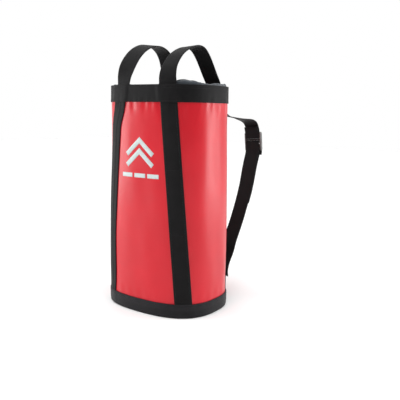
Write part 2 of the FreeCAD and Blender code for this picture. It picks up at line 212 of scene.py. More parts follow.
# ------------------------------------------------------------------ mesh helpers
def new_mesh(name, points, faces, uv=None, material=None, flat=False):
    """One mesh object; uv holds one (u, v) in metres for each point."""
    mesh = bpy.data.meshes.new(name)
    mesh.from_pydata([tuple(p) for p in points], [], faces)
    if uv is not None:
        layer = mesh.uv_layers.new(name="cloth")
        corners = np.empty(len(mesh.loops), dtype=np.int32)
        mesh.loops.foreach_get("vertex_index", corners)
        layer.data.foreach_set("uv", np.asarray(uv, float)[corners].ravel())
    mesh.polygons.foreach_set("use_smooth", [not flat] * len(mesh.polygons))
    mesh.validate()
    mesh.update()
    piece = bpy.data.objects.new(name, mesh)
    bpy.context.scene.collection.objects.link(piece)
    if material is not None:
        mesh.materials.append(material)
    return piece


def tube_faces(rows, columns, closed):
    """Quads of a grid whose columns close on themselves; rows close too when closed."""
    faces = []
    for row in range(rows if closed else rows - 1):
        following = (row + 1) % rows
        for column in range(columns):
            onward = (column + 1) % columns
            faces.append((row * columns + column, row * columns + onward,
                          following * columns + onward, following * columns + column))
    if not closed:
        faces.append(tuple(range(columns))[::-1])
        faces.append(tuple((rows - 1) * columns + column for column in range(columns)))
    return faces


def webbing_section(width, thickness, across=14, roll=0.00022):
    """A flat woven band cut across: (a, b) pairs round it, with slightly raised woven edges."""
    radius = thickness / 2
    reach = width / 2 - radius
    top = []
    for step in range(across + 1):
        a = -reach + 2 * reach * step / across
        edge = np.exp(-((abs(a) - reach + 0.0012) / 0.0011) ** 2)
        top.append((a, radius + roll * edge))
    right = [(reach + radius * math.sin(t), radius * math.cos(t)) for t in (0.9, math.pi / 2, math.pi - 0.9)]
    bottom = [(-a, -b) for a, b in top]
    left = [(-a, -b) for a, b in right]
    return np.array(top + right + bottom + left)


def strip_mesh(name, centre, across, normal, section, material, closed=False, cup=None):
    """A webbing band swept along a line; each row of the sweep has its own frame."""
    rows, columns = len(centre), len(section)
    a, b = section[:, 0], section[:, 1]
    lift = b[None, :] * np.ones((rows, 1))
    if cup is not None:
        lift = lift - np.asarray(cup)[:, None] * (a[None, :] / (WEBBING / 2)) ** 2
    points = (centre[:, None, :] + across[:, None, :] * a[None, :, None]
              + normal[:, None, :] * lift[:, :, None])
    lengths = np.concatenate([[0], np.cumsum(np.linalg.norm(np.diff(centre, axis=0), axis=1))])
    uv = np.stack([np.repeat(lengths, columns), np.tile(a, rows)], -1)
    return new_mesh(name, points.reshape(-1, 3), tube_faces(rows, columns, closed), uv, material)


def wall_strip(name, s_line, z_line, out_line, section, material):
    """A webbing band laid on the curved wall along a line of (s, z)."""
    s_line, z_line = np.asarray(s_line), np.asarray(z_line)
    ds, dz = np.gradient(s_line), np.gradient(z_line)
    size = np.hypot(ds, dz)
    across_s, across_z = dz / size, -ds / size
    a, b = section[:, 0], section[:, 1]
    s = s_line[:, None] + across_s[:, None] * a[None, :]
    z = z_line[:, None] + across_z[:, None] * a[None, :]
    points = wall(s, z, np.asarray(out_line)[:, None] + b[None, :])
    lengths = np.concatenate([[0], np.cumsum(size[1:])])
    uv = np.stack([np.repeat(lengths, len(a)), np.tile(a, len(s_line))], -1)
    return new_mesh(name, points.reshape(-1, 3), tube_faces(len(s_line), len(a), False), uv, material)


def wall_ring(name, section, material, columns=520, lift=None, soft=True):
    """A closed section of (out, z, v) carried all the way round the wall."""
    s = np.linspace(0, ROUND, columns, endpoint=False)
    section = np.asarray(section, float)
    grid_s = s[:, None] * np.ones((1, len(section)))
    out = section[None, :, 0] * np.ones((columns, 1))
    z = section[None, :, 1] * np.ones((columns, 1))
    if lift is not None:
        extra_out, extra_z = lift(grid_s, z, out)
        out, z = out + extra_out, z + extra_z
    points = wall(grid_s, z, out, soft)
    uv = np.stack([np.repeat(s, len(section)), np.tile(section[:, 2], columns)], -1)
    return new_mesh(name, points.reshape(-1, 3), tube_faces(columns, len(section), True), uv, material)


def smooth_route(points, step=0.0025):
    """A smooth line through the points, with rows step metres apart."""
    points = np.asarray(points, float)
    padded = np.vstack([2 * points[0] - points[1], points, 2 * points[-1] - points[-2]])
    line = []
    for index in range(1, len(padded) - 2):
        p0, p1, p2, p3 = padded[index - 1:index + 3]
        for t in np.linspace(0, 1, 24, endpoint=False):
            line.append(0.5 * (2 * p1 + (p2 - p0) * t + (2 * p0 - 5 * p1 + 4 * p2 - p3) * t ** 2
                               + (3 * p1 - p0 - 3 * p2 + p3) * t ** 3))
    line.append(padded[-2])
    line = np.array(line)
    lengths = np.concatenate([[0], np.cumsum(np.linalg.norm(np.diff(line, axis=0), axis=1))])
    count = max(8, int(lengths[-1] / step) + 1)
    places = np.linspace(0, lengths[-1], count)
    return np.stack([np.interp(places, lengths, line[:, axis]) for axis in range(3)], -1), places


def frames_along(line, across):
    """Across and outward directions square to a line, from a wished across direction."""
    tangent = np.gradient(line, axis=0)
    tangent /= np.linalg.norm(tangent, axis=1, keepdims=True)
    across = across - tangent * (across * tangent).sum(1, keepdims=True)
    across /= np.linalg.norm(across, axis=1, keepdims=True)
    return across, np.cross(tangent, across)


TINY_STEP = 1e-4
NO_LENGTH = 1e-9


def stitches(line, outward, pitch=0.0034, length=0.0025, radius=0.00028):
    """A row of thread stitches lying on a surface: each one a small arched grain."""
    steps = np.linalg.norm(np.diff(line, axis=0), axis=1)
    lengths = np.concatenate([[0], np.cumsum(steps)])
    count = int(lengths[-1] / pitch)
    points, faces = [], []
    rings, sides = 5, 5

    def along_row(place, values):
        return np.array([np.interp(place, lengths, values[:, axis]) for axis in range(3)])

    for index in range(count):
        middle = (index + 0.5) * pitch
        base = len(points)
        for ring in range(rings):
            t = -1 + 2 * ring / (rings - 1)
            place = middle + t * length / 2
            centre = along_row(place, line)
            up = along_row(place, outward)
            ahead = along_row(place + TINY_STEP, line) - centre
            if np.linalg.norm(ahead) < NO_LENGTH:
                ahead = centre - along_row(place - TINY_STEP, line)
            ahead /= np.linalg.norm(ahead)
            side = np.cross(up, ahead)
            thick = radius * (0.35 + 0.65 * math.sqrt(max(0.0, 1 - t * t)))
            arch = radius * 0.9 * (1 - t * t) - radius * 0.35
            for corner in range(sides):
                angle = 2 * math.pi * corner / sides
                points.append(centre + up * (arch + thick * math.sin(angle)) + side * thick * math.cos(angle))
        for ring in range(rings - 1):
            for corner in range(sides):
                onward = (corner + 1) % sides
                faces.append((base + ring * sides + corner, base + ring * sides + onward,
                              base + (ring + 1) * sides + onward, base + (ring + 1) * sides + corner))
        faces.append(tuple(base + corner for corner in range(sides))[::-1])
        faces.append(tuple(base + (rings - 1) * sides + corner for corner in range(sides)))
    return points, faces


def stitch_piece(name, rows, material, body):
    """All the stitch rows of one piece, joined in one mesh."""
    points, faces = [], []
    for line, outward in rows:
        more, quads = stitches(line, outward)
        faces += [tuple(corner + len(points) for corner in quad) for quad in quads]
        points += more
    piece = new_mesh(name, points, faces, None, material)
    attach(piece, body)
    return piece


# ------------------------------------------------------------------ materials
class Nodes:
    """A small builder for one node material."""

    def __init__(self, name):
        self.material = bpy.data.materials.new(name)
        self.material.use_nodes = True
        self.tree = self.material.node_tree
        self.shader = self.tree.nodes["Principled BSDF"]

    def add(self, kind, inputs=None, **settings):
        node = self.tree.nodes.new("ShaderNode" + kind)
        for key, value in settings.items():
            setattr(node, key, value)
        for key, value in (inputs or {}).items():
            self.put(node.inputs[key], value)
        return node

    def put(self, socket, value):
        if isinstance(value, bpy.types.NodeSocket):
            self.tree.links.new(value, socket)
        else:
            socket.default_value = value

    def math(self, operation, first, second=0.0, third=None):
        inputs = {0: first, 1: second}
        if third is not None:
            inputs[2] = third
        return self.add("Math", inputs, operation=operation).outputs[0]

    def noise(self, vector, scale, detail=3.0, rough=0.5):
        return self.add("TexNoise", {"Vector": vector, "Scale": scale, "Detail": detail,
                                     "Roughness": rough}).outputs["Fac"]

    def ramp(self, value, stops):
        node = self.add("ValToRGB", {"Fac": value})
        elements = node.color_ramp.elements
        while len(elements) < len(stops):
            elements.new(0.5)
        for element, (place, colour) in zip(elements, stops):
            element.position = place
            element.color = (*colour, 1.0)
        return node.outputs["Color"]

    def span(self, value, low, high):
        return self.add("MapRange", {"Value": value, "To Min": low, "To Max": high}).outputs[0]

    def bump(self, height, distance, strength=1.0, normal=None):
        inputs = {"Height": height, "Distance": distance, "Strength": strength}
        if normal is not None:
            inputs["Normal"] = normal
        return self.add("Bump", inputs).outputs[0]

    def finish(self, **sockets):
        for name, value in sockets.items():
            self.put(self.shader.inputs[name.replace("_", " ")], value)
        return self.material


def cloth_axes(nodes):
    """The two cloth coordinates, in metres along and across a woven piece."""
    place = nodes.add("UVMap", uv_map="cloth").outputs[0]
    split = nodes.add("SeparateXYZ", {0: place})
    return split.outputs[0], split.outputs[1]


def wave(nodes, value, pitch, phase=0.0):
    """A smooth ridge every pitch metres, from 0 to 1."""
    turned = nodes.math("MULTIPLY_ADD", value, 2 * math.pi / pitch, phase)
    return nodes.math("MULTIPLY_ADD", nodes.math("SINE", turned), 0.5, 0.5)


def webbing_material(name, dark, light, rib=0.0019, rough=0.62, sheen=0.06, edge_light=1.35):
    """Woven webbing: ribs across, fine warp threads along, paler edges and lint."""
    nodes = Nodes(name)
    along, across = cloth_axes(nodes)
    ribs = wave(nodes, along, rib)
    warp = wave(nodes, across, 0.0011)
    weave = nodes.math("MULTIPLY", ribs, nodes.math("MULTIPLY_ADD", warp, 0.45, 0.55))
    solid = nodes.add("TexCoord").outputs["Object"]
    mottle = nodes.noise(solid, 38.0, 4.0, 0.6)
    lint = nodes.noise(solid, 900.0, 2.0, 0.7)
    edge = nodes.math("ABSOLUTE", across)
    rim = nodes.add("MapRange", {"Value": edge, "From Min": WEBBING * 0.40, "From Max": WEBBING * 0.485,
                                 "To Min": 0.0, "To Max": 1.0}).outputs[0]
    tone = nodes.math("MULTIPLY_ADD", weave, 0.38, nodes.math("MULTIPLY", mottle, 0.62))
    tone = nodes.math("MULTIPLY_ADD", rim, 0.12 * edge_light, tone)
    tone = nodes.math("MULTIPLY_ADD", lint, 0.16, tone)
    colour = nodes.ramp(tone, [(0.18, dark), (0.95, light)])
    height = nodes.math("MULTIPLY_ADD", lint, 0.35, weave)
    nodes.finish(Base_Color=colour, Roughness=nodes.span(mottle, rough - 0.08, rough + 0.10),
                 Normal=nodes.bump(height, 0.00022, 0.9))
    nodes.shader.inputs["Sheen Weight"].default_value = sheen
    nodes.shader.inputs["Sheen Roughness"].default_value = 0.45
    nodes.shader.inputs["Specular IOR Level"].default_value = 0.12
    return nodes.material


def tarpaulin_material():
    """Glossy coated tarpaulin: the scrim's faint grid telegraphs through a soft coating."""
    nodes = Nodes("red_tarpaulin")
    along, across = cloth_axes(nodes)
    solid = nodes.add("TexCoord").outputs["Object"]
    clouds = nodes.noise(solid, 9.0, 3.0, 0.5)
    grain = nodes.noise(solid, 520.0, 3.0, 0.6)
    scrim = nodes.math("MULTIPLY", wave(nodes, along, 0.0016), wave(nodes, across, 0.0016))
    smudge = nodes.noise(solid, 34.0, 5.0, 0.62)
    colour = nodes.ramp(clouds, [(0.30, (0.572, 0.0050, 0.0150)), (0.72, (0.648, 0.0080, 0.0205))])
    height = nodes.math("MULTIPLY_ADD", scrim, 0.5, grain)
    nodes.finish(Base_Color=colour, Roughness=nodes.span(smudge, 0.30, 0.42),
                 Normal=nodes.bump(height, 0.000035, 0.6))
    nodes.shader.inputs["Specular IOR Level"].default_value = 0.32
    nodes.shader.inputs["Coat Weight"].default_value = 0.15
    nodes.shader.inputs["Coat Roughness"].default_value = 0.16
    return nodes.material


def nylon_material():
    """Thin coated nylon: fine plain weave and a ripstop grid, with a dull shine and a mottled tone."""
    nodes = Nodes("grey_nylon")
    along, across = cloth_axes(nodes)
    solid = nodes.add("TexCoord").outputs["Object"]
    mottle = nodes.noise(solid, 60.0, 4.0, 0.6)
    weave = nodes.math("MULTIPLY", wave(nodes, along, 0.0008), wave(nodes, across, 0.0008))
    ripstop = nodes.math("MAXIMUM", wave(nodes, along, 0.006), wave(nodes, across, 0.006))
    grid = nodes.math("POWER", ripstop, 24.0)
    colour = nodes.ramp(mottle, [(0.25, (0.022, 0.028, 0.036)), (0.80, (0.058, 0.072, 0.088))])
    nodes.finish(Base_Color=colour, Roughness=nodes.span(mottle, 0.34, 0.50),
                 Normal=nodes.bump(nodes.math("ADD", weave, grid), 0.00006, 0.8))
    nodes.shader.inputs["Sheen Weight"].default_value = 0.15
    return nodes.material


def solid_material(name, dark, light, rough, metallic=0.0, grain=260.0, depth=0.00004):
    """Moulded plastic, board or plated metal: mottled colour and a fine moulded grain."""
    nodes = Nodes(name)
    solid = nodes.add("TexCoord").outputs["Object"]
    mottle = nodes.noise(solid, 45.0, 5.0, 0.6)
    fine = nodes.noise(solid, grain, 3.0, 0.6)
    nodes.finish(Base_Color=nodes.ramp(mottle, [(0.3, dark), (0.75, light)]),
                 Roughness=nodes.span(fine, rough - 0.06, rough + 0.10),
                 Normal=nodes.bump(fine, depth, 0.6))
    nodes.shader.inputs["Metallic"].default_value = metallic
    return nodes.material


def floor_material():
    nodes = Nodes("pale_floor")
    solid = nodes.add("TexCoord").outputs["Object"]
    mottle = nodes.noise(solid, 3.0, 2.0, 0.5)
    nodes.finish(Base_Color=nodes.ramp(mottle, [(0.3, (0.90, 0.90, 0.90)), (0.7, (0.93, 0.93, 0.93))]),
                 Roughness=0.9)
    return nodes.material


RED = tarpaulin_material()
BLACK = webbing_material("black_webbing", (0.0025, 0.0024, 0.0026), (0.0130, 0.0122, 0.0132))
BASE_BLACK = webbing_material("base_webbing", (0.005, 0.0048, 0.0058), (0.022, 0.0215, 0.0245), rib=0.0012,
                              rough=0.50, sheen=0.06)
THREAD = webbing_material("black_thread", (0.008, 0.008, 0.009), (0.030, 0.030, 0.033), rib=0.0006, rough=0.5)
GREY = nylon_material()
BOARD = solid_material("stiffener_board", (0.020, 0.020, 0.022), (0.045, 0.045, 0.048), 0.60)
METAL = solid_material("eyelet_metal", (0.42, 0.42, 0.44), (0.60, 0.60, 0.62), 0.30, 1.0)
# The lock is black plastic: this paler grey copy on its rails is a painted highlight for the side lit from
# the right.
PAINTED_HIGHLIGHT_PLASTIC = solid_material("buckle_plastic", (0.075, 0.073, 0.071), (0.130, 0.126, 0.121), 0.28)
DARK_PLASTIC = solid_material("buckle_bars", (0.006, 0.006, 0.006), (0.012, 0.012, 0.011), 0.75)
PRINT = solid_material("pale_print", (0.52, 0.60, 0.60), (0.64, 0.71, 0.71), 0.45, 0.0, 420.0)

SECTION = webbing_section(WEBBING, STRAP_THICK)
HANDLE_SECTION = webbing_section(WEBBING, HANDLE_THICK, roll=0.0003)


# ------------------------------------------------------------------ tarpaulin tube and base
def make_tube():
    """The red tube: one thin skin, open at the top, with the lap seam's tape inside the back."""
    heights = np.concatenate([np.linspace(FLOOR, BASE_BAND_HIGH, 8), np.linspace(0.035, 0.068, 12),
                              np.linspace(0.075, 0.425, 58), np.linspace(0.429, 0.478, 24),
                              np.linspace(0.485, RIM - 0.0045, 5)])
    outside = [(0.0, z, z) for z in heights]
    inside = [(-SHELL_THICK, z, z) for z in heights[::-1]]
    piece = wall_ring("tarpaulin_tube", outside + inside, RED, columns=640)
    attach(piece, "bag")
    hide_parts("body_shell")


def make_seam_tape():
    """The welded tape over the joint, inside the back wall."""
    low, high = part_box("back_seam_tape")
    z = np.linspace(low[2], high[2], 120)
    section = webbing_section(high[0] - low[0], 0.0006, roll=0.0)
    s = np.full_like(z, ROUND / 2)
    piece = wall_strip("back_seam_tape_skin", s, z, np.full_like(z, -SHELL_THICK - 0.0005), section, RED)
    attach(piece, "bag")
    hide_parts("back_seam_tape")


def band_lift(amount):
    """The bands ride up over the straps that run under them."""
    def lift(s, z, out):
        return amount * over_straps(s, z), 0 * z
    return lift


def make_rim_band():
    """The wide webbing sewn round the mouth, outside, and its facing inside."""
    edge = BAND_THICK / 2
    low, high = RIM_BAND_LOW, RIM
    middle = CLEAR + edge
    section = []
    for b, a in webbing_section(high - low, BAND_THICK, across=12)[:, ::-1]:
        section.append((middle + b, (low + high) / 2 + a, a))
    outside = wall_ring("rim_webbing", section, BLACK, lift=band_lift(HANDLE_THICK))
    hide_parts("rim_band")
    inner = -(SHELL_THICK + CLEAR + edge)
    facing = []
    for out, z, v in section:
        over_edge = SHELL_THICK + 0.8 * CLEAR if out > middle and z > high - 0.0035 else 0
        facing.append((inner + (out - middle) + over_edge, z, v))
    inside = wall_ring("rim_facing_webbing", facing, BLACK)
    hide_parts("rim_facing")
    for piece in (outside, inside):
        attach(piece, "bag")
    rows = []
    s = np.linspace(0, ROUND, 900)
    for z in (RIM - 0.004, RIM - 0.008, low + 0.003):
        for out, way in ((middle + edge, 1), (inner - edge, -1)):
            rise = HANDLE_THICK * over_straps(s, z) if way == 1 else 0
            rows.append((wall(s, z, out + rise), way * wall_normal(s)))
    stitch_piece("rim_stitching", rows, THREAD, "bag")


def make_base():
    """The webbing that binds the bottom edge and turns under it, and the boards inside."""
    top = BASE_BAND_HIGH
    thick = BASE_THICK
    corner = 0.0024
    outer = [(CLEAR + thick, z, z) for z in np.linspace(top - 0.0008, corner, 9)]
    turn = np.linspace(0, math.pi / 2, 7)[1:]
    drop = corner - 0.00005
    outer += [(CLEAR + thick - corner * (1 - math.cos(t)), corner - drop * math.sin(t), corner - corner * t)
              for t in turn]
    inner = [(CLEAR, 0.0008, -0.002), (CLEAR, 0.018, 0.018), (CLEAR, top - 0.0008, top - 0.001),
             (CLEAR + thick / 2, top, top)]
    band = wall_ring("base_webbing", outer + inner, BASE_BLACK,
                     lift=lambda s, z, out: (np.where(out < 1.5 * CLEAR, STRAP_THICK + CLEAR, 0.0009)
                                             * over_straps(s, z) * smooth(z, 0.002, 0.010), 0 * z))
    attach(band, "bag")
    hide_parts("base_band")
    s = np.linspace(0, ROUND, 900)
    rows = []
    for z in (top - 0.003, top - 0.0065):
        rows.append((wall(s, z, CLEAR + thick + 0.0009 * over_straps(s, z)), wall_normal(s)))
    stitch_piece("base_stitching", rows, THREAD, "bag")
    for node, material in (("base_panel", RED), ("base_stiffener", BOARD)):
        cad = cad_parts[node]
        cad = cad if isinstance(cad, bpy.types.Object) else bpy.data.objects[node]
        cad.data.materials.clear()
        cad.data.materials.append(material)


def make_body_straps():
    """Four upright straps, flaring towards the base and sewn along both edges."""
    for key in STRAP_ARCS:
        end, side = key
        name = f"{end}_{side}_webbing"
        z = np.linspace(0.0110, RIM_BAND_LOW + 0.009, 190)
        out = np.full_like(z, CLEAR + STRAP_THICK / 2)
        section = SECTION
        if key == ("front", "left"):
            section = SECTION.copy()
            crease = np.exp(-((section[:, 0] - 0.003) / 0.0016) ** 2)
            section[:, 1] += np.where(section[:, 1] > 0, 0.0012 * crease, 0)
        piece = wall_strip(name, strap_middle(key, z), z, out, section, BLACK)
        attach(piece, "bag")
        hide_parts(f"{end}_{side}_strap")
        rows = []
        inset = WEBBING / 2 - 0.0045
        zs = np.linspace(BASE_BAND_HIGH + 0.001, RIM_BAND_LOW - 0.001, 260)
        for a in (-inset, inset):
            s = strap_middle(key, zs) + a
            rows.append((wall(s, zs, CLEAR + STRAP_THICK), wall_normal(s)))
        for z_seam in CREASE_HEIGHTS:
            a = np.linspace(-inset, inset, 40)
            s = strap_middle(key, z_seam) + a
            rows.append((wall(s, np.full_like(s, z_seam), CLEAR + STRAP_THICK), wall_normal(s)))
        stitch_piece(name + "_stitching", rows, THREAD, "bag")


# ------------------------------------------------------------------ carrying handles
HANDLE_ROUTES = {
    # (y, z) from the front wall over the mouth to the rear wall
    "left": [(-0.0975, 0.514), (-0.0925, 0.532), (-0.0820, 0.553), (-0.0650, 0.573), (-0.0430, 0.590),
             (-0.0170, 0.602), (0.0100, 0.6075), (0.0370, 0.606), (0.0610, 0.597), (0.0780, 0.580),
             (0.0870, 0.557), (0.0925, 0.534), (0.0955, 0.514)],
    "right": [(-0.0966, 0.514), (-0.0962, 0.530), (-0.0915, 0.546), (-0.0815, 0.560), (-0.0650, 0.5755),
              (-0.0420, 0.588), (-0.0170, 0.5960), (0.0040, 0.5975), (0.0215, 0.593), (0.0385, 0.580),
              (0.0545, 0.562), (0.0720, 0.540), (0.0890, 0.520)],
}


# how far along the rim a foot stands from the strap below it
FOOT_SHIFT = {("front", "left"): 0.009, ("rear", "right"): -0.002}
# the direction across the webbing at the top of the loop: how far it turns and rolls
HANDLE_TWIST = {"left": (1.0, 0.24, -0.10), "right": (1.0, 0.04, 0.07)}


def make_handle(side):
    """One continuous webbing loop: flat on the wall under the band, then up and over the mouth."""
    arcs = {end: STRAP_ARCS[end, side][1] + FOOT_SHIFT.get((end, side), 0) for end in ("front", "rear")}
    feet = {end: [wall(arcs[end], z, CLEAR + HANDLE_THICK / 2, soft=False) for z in (0.4855, 0.4940, 0.5030)]
            for end in arcs}
    arch = HANDLE_ROUTES[side]
    x_front, x_rear = feet["front"][0][0], feet["rear"][0][0]
    y_front, y_rear = feet["front"][-1][1], feet["rear"][-1][1]
    points = list(feet["front"])
    for y, z in arch:
        share = (y - y_front) / (y_rear - y_front)
        points.append(np.array([x_front + (x_rear - x_front) * share, y, z]))
    points += feet["rear"][::-1]
    line, places = smooth_route(points)
    share = places / places[-1]
    wished = []
    normals = {end: wall_normal(arcs[end]) for end in arcs}
    skew = np.array(HANDLE_TWIST[side])
    tangents = {"front": np.array([-normals["front"][1], normals["front"][0], 0]),
                "rear": np.array([normals["rear"][1], -normals["rear"][0], 0])}
    height = line[:, 2]
    for index in range(len(line)):
        end = "front" if share[index] < 0.5 else "rear"
        low, high = (RIM - 0.004, RIM + 0.050) if end == "front" else (RIM - 0.012, RIM + 0.016)
        turn = float(smooth(height[index], low, high))
        wished.append(tangents[end] * (1 - turn) + skew * turn)
    across, normal = frames_along(line, np.array(wished))
    normal = -normal
    cup = 0.0009 * (1 - smooth(height, RIM - 0.002, RIM + 0.020))
    piece = strip_mesh(f"handle_{side}_webbing", line, across, normal, HANDLE_SECTION, BLACK, cup=cup)
    body = f"handle_{side}"
    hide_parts(body, body + "_feet")
    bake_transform(piece)


# ------------------------------------------------------------------ shoulder straps
SHOULDER_X = 0.0746
SHOULDER_Z = 0.445
SHOULDER_SLANT = math.radians(5.03)
LOCK_Y = 0.257
LOCK_CLEAR = 0.0034
LOCK_RAIL = 0.0030
BAR_RADIUS = 0.0022
BAR_UPPER, BAR_MIDDLE, BAR_LOWER = 0.391, 0.377, 0.362
RAIL_LOW, RAIL_HIGH = 0.355, 0.404
UPPER_SAG = 0.22


def strap_plane(points, sign):
    """Points (a, y, z) of the strap's own upright plane, slanted and set beside the middle."""
    points = np.asarray(points, float)
    turn = Matrix.Rotation(-sign * SHOULDER_SLANT, 3, "Y")
    rotation = np.array(turn)
    centre = np.array([0, 0, SHOULDER_Z])
    return (points - centre) @ rotation.T + centre + np.array([sign * SHOULDER_X, 0, 0])


def bar_turn(z, over, count=9):
    """The webbing's turn round a bar, from the outside to the inside, over or under it."""
    turn = np.linspace(0, math.pi, count)
    way = 1 if over else -1
    return [(LOCK_Y + LOCK_CLEAR * math.cos(t), z + way * LOCK_CLEAR * math.sin(t)) for t in turn]


def plane_strap(name, route, sign, foot_arc, roll=0.0):
    """A webbing strip along (y, z) points of the strap's plane; its foot lies on the rear wall.

    Past the foot the strip rolls by roll, so that its outer edge sags."""
    flat = [(0.0, y, z) for y, z in route]
    line, gone = smooth_route(strap_plane(flat, sign), 0.002)
    tangent_wall = np.array([wall_normal(foot_arc)[1], -wall_normal(foot_arc)[0], 0])
    straight = np.array(Matrix.Rotation(-sign * SHOULDER_SLANT, 3, "Y"))[:, 0]
    turn = smooth(gone, 0.012, 0.075)[:, None]
    sag = roll * smooth(gone, 0.030, 0.060) * (1 - smooth(gone, 0.100, 0.165))
    wished = tangent_wall * (1 - turn) + straight * turn - sign * sag[:, None] * np.array([0, 0, 1])
    across, normal = frames_along(line, wished)
    piece = strip_mesh(name, line, across, normal, SECTION, BLACK)
    return piece


def make_shoulder_strap(side, sign):
    """Upper webbing, ladder lock, lower webbing and its loose tail."""
    body = f"shoulder_strap_{side}"
    tail_body = f"strap_tail_{side}"
    lift = CLEAR + STRAP_THICK * 1.5 + 0.0004
    top_arc = ROUND / 2 - sign * front_arc(SHOULDER_X, 0.47)
    low_arc = ROUND / 2 - sign * front_arc(0.1035, 0.10)
    top_foot = [wall(top_arc, z, lift, soft=False) for z in (0.4845, 0.478)]
    low_foot = [wall(low_arc, z, lift, soft=False) for z in (0.060, 0.072)]
    upper = [(p[1], p[2]) for p in top_foot]
    upper += [(0.1024, 0.4650), (0.1075, 0.4545), (0.1180, 0.4475), (0.1380, 0.4450), (0.1700, 0.4425),
              (0.2050, 0.4390), (0.2330, 0.4345), (0.2490, 0.4270), (0.2570, 0.4140), (0.2600, 0.4000)]
    upper += bar_turn(BAR_UPPER, False)
    upper += [(0.2536, 0.4010), (0.2500, 0.4175)]
    lower = [(p[1], p[2]) for p in low_foot]
    lower += [(0.0905, 0.0860), (0.0965, 0.1010), (0.1060, 0.1210), (0.1180, 0.1405), (0.1600, 0.1925),
              (0.2030, 0.2575), (0.2330, 0.3200), (0.2490, 0.3500), (0.2536, 0.3660)]
    lower += bar_turn(BAR_MIDDLE, True)[::-1]
    lower += [(0.2604, 0.3746)]
    tail = [(0.2604, 0.3728), (0.2606, 0.3650), (0.2604, 0.3585), (0.2560, 0.3485), (0.2385, 0.3185),
            (0.2230, 0.2870), (0.2068, 0.2560), (0.1868, 0.2250)]
    piece = plane_strap(f"upper_strap_{side}_webbing", upper, sign, top_arc, UPPER_SAG)
    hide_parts(f"upper_strap_{side}", f"strap_roots_{side}")
    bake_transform(piece)
    piece = plane_strap(f"lower_strap_{side}_webbing", lower, sign, low_arc)
    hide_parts(f"lower_strap_{side}")
    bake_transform(piece)
    flat = [(0.0, y, z) for y, z in tail]
    line, _ = smooth_route(strap_plane(flat, sign), 0.002)
    straight = np.array(Matrix.Rotation(-sign * SHOULDER_SLANT, 3, "Y"))[:, 0]
    across, normal = frames_along(line, np.tile(straight, (len(line), 1)))
    piece = strip_mesh(f"strap_tail_{side}_webbing", line, across, normal, SECTION, BLACK)
    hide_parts(f"strap_tail_{side}")
    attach(piece, tail_body)
    make_ladder_lock(side, sign, body)


def rounded_plate(profile, low, high, bevel):
    """Points and faces of a plate: its (y, z) profile carried from x low to x high, edges eased."""
    profile = np.asarray(profile, float)
    centre = profile.mean(0)
    rings = []
    for x, inset in ((low, bevel), (low + bevel * 0.4, bevel * 0.35), (low + bevel, 0.0),
                     (high - bevel, 0.0), (high - bevel * 0.4, bevel * 0.35), (high, bevel)):
        away = profile - centre
        size = np.linalg.norm(away, axis=1, keepdims=True)
        ring = profile - away / size * inset
        rings.append([(x, y, z) for y, z in ring])
    points = [point for ring in rings for point in ring]
    return points, tube_faces(len(rings), len(profile), False)


def stadium(y, z_low, z_high, half, count=10):
    """A rounded-ended slot shape in (y, z), half metres wide to each side."""
    points = []
    for t in np.linspace(0, math.pi, count):
        points.append((y + half * math.cos(t), z_high - half + half * math.sin(t)))
    for t in np.linspace(math.pi, 2 * math.pi, count):
        points.append((y + half * math.cos(t), z_low + half + half * math.sin(t)))
    return points


def make_ladder_lock(side, sign, body):
    """The moulded black ladder lock: two rails, three bars, a bridge between the upper two and a thumb tab.
    The rails carry a paler grey, a painted highlight standing in for their lit side.
    """
    half = WEBBING / 2 + 0.0005
    pieces = []
    for low, high in ((-half - LOCK_RAIL, -half), (half, half + LOCK_RAIL)):
        pieces.append(rounded_plate(stadium(LOCK_Y + 0.0030, RAIL_LOW, RAIL_HIGH, 0.0046), low, high, 0.0007))
    bridge = (BAR_UPPER + BAR_MIDDLE) / 2
    for z, flat in ((BAR_UPPER, 1.0), (bridge, 1.2), (BAR_MIDDLE, 1.0), (BAR_LOWER, 1.0)):
        circle = [(LOCK_Y + BAR_RADIUS * math.cos(t), z + BAR_RADIUS * flat * math.sin(t))
                  for t in np.linspace(0, 2 * math.pi, 16, endpoint=False)]
        pieces.append(rounded_plate(circle, -half - 0.001, half + 0.001, 0.0003))
    tab = [(LOCK_Y + 0.0066, 0.3600), (LOCK_Y + 0.0084, 0.3590), (LOCK_Y + 0.0070, 0.3500),
           (LOCK_Y + 0.0046, 0.3435), (LOCK_Y + 0.0036, 0.3440), (LOCK_Y + 0.0054, 0.3505),
           (LOCK_Y + 0.0060, 0.3585)]
    pieces.append(rounded_plate(tab, -half - LOCK_RAIL * 0.5, half + LOCK_RAIL * 0.5, 0.0005))
    points, faces, painted_highlight_or_own = [], [], []
    for number, (more, quads) in enumerate(pieces):
        faces += [tuple(corner + len(points) for corner in quad) for quad in quads]
        # the rails (0) take the painted highlight grey; the bars, bridge and tab (1) take the black plastic's
        # own colour
        painted_highlight_or_own += [0 if number < 2 else 1] * len(quads)
        points += more
    points = strap_plane(points, sign)
    piece = new_mesh(f"ladder_lock_{side}_moulding", points, faces, None, PAINTED_HIGHLIGHT_PLASTIC)
    piece.data.materials.append(DARK_PLASTIC)
    piece.data.polygons.foreach_set("material_index", painted_highlight_or_own)
    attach(piece, body)
    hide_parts(f"ladder_lock_{side}")


# ------------------------------------------------------------------ collar
collar_lumps = ripples(8, 3, 12, 0.0, 0.2, 21)
collar_folds = ripples(12, 12, 38, 0.0, 9.0, 22)
collar_creases = ripples(14, 34, 90, 2.0, 20.0, 23)


def collar_rise(s):
    """How far the collar swells up over the rim round the mouth: most at the front right."""
    swell = 0 * s
    for place, reach, rise in COLLAR_SWELLS:
        away = np.mod(s - place * ROUND + ROUND / 2, ROUND) - ROUND / 2
        swell = swell + rise * np.exp(-(away / reach) ** 2)
    return swell


